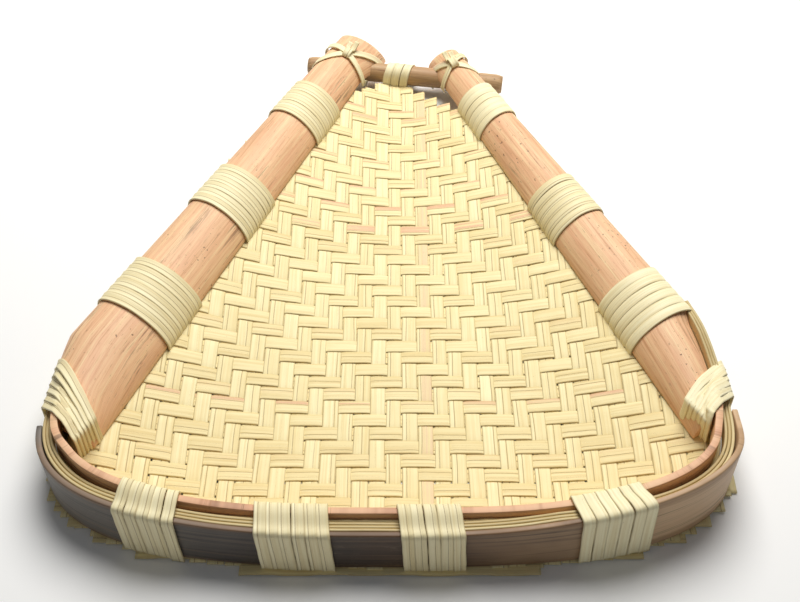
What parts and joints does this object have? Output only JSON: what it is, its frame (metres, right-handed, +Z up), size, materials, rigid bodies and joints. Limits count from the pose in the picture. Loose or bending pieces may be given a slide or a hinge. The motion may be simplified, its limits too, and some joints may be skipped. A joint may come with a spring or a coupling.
{
  "type": "winnowing basket",
  "caption": "Teardrop winnowing tray of woven bamboo splints with two split-culm side rails, a cross stick and a lashed hoop round the wide end.",
  "frame": {"origin": "middle of the footprint's bounding box, on the plane the basket rests on", "axes": "+Z up, +Y towards the narrow end where the rails meet the cross stick, +X to the right seen from the wide end"},
  "size_m": [0.413, 0.484, 0.0464],
  "materials": {
    "mat_splint": "matte split bamboo",
    "rim_band": "weathered dark bamboo lath",
    "inner_band": "satin bamboo lath",
    "filler_splint": "matte split bamboo",
    "rail_culm": "satin peeled culm",
    "lath": "matte split bamboo",
    "stick_culm": "satin culm",
    "lashing_strip": "satin peeled bamboo strip"
  },
  "bodies": {
    "root": {"woven_mat": "mat_splint", "outer_rim_band": "rim_band", "inner_rim_band": "inner_band", "rim_filler_splint_1": "filler_splint", "rim_filler_splint_2": "filler_splint", "rim_filler_splint_3": "filler_splint", "left_rail": "rail_culm", "right_rail": "rail_culm", "left_rail_under_lath": "lath", "right_rail_under_lath": "lath", "cross_stick": "stick_culm", "left_rail_lashing_1": "lashing_strip", "left_rail_lashing_2": "lashing_strip", "left_rail_lashing_3": "lashing_strip", "left_corner_lashing": "lashing_strip", "left_end_tie": "lashing_strip", "right_rail_lashing_1": "lashing_strip", "right_rail_lashing_2": "lashing_strip", "right_rail_lashing_3": "lashing_strip", "right_corner_lashing": "lashing_strip", "right_end_tie": "lashing_strip", "rim_lashing_1": "lashing_strip", "rim_lashing_2": "lashing_strip", "rim_lashing_3": "lashing_strip", "rim_lashing_4": "lashing_strip", "cross_stick_lashing": "lashing_strip"}
  },
  "joints": []
}
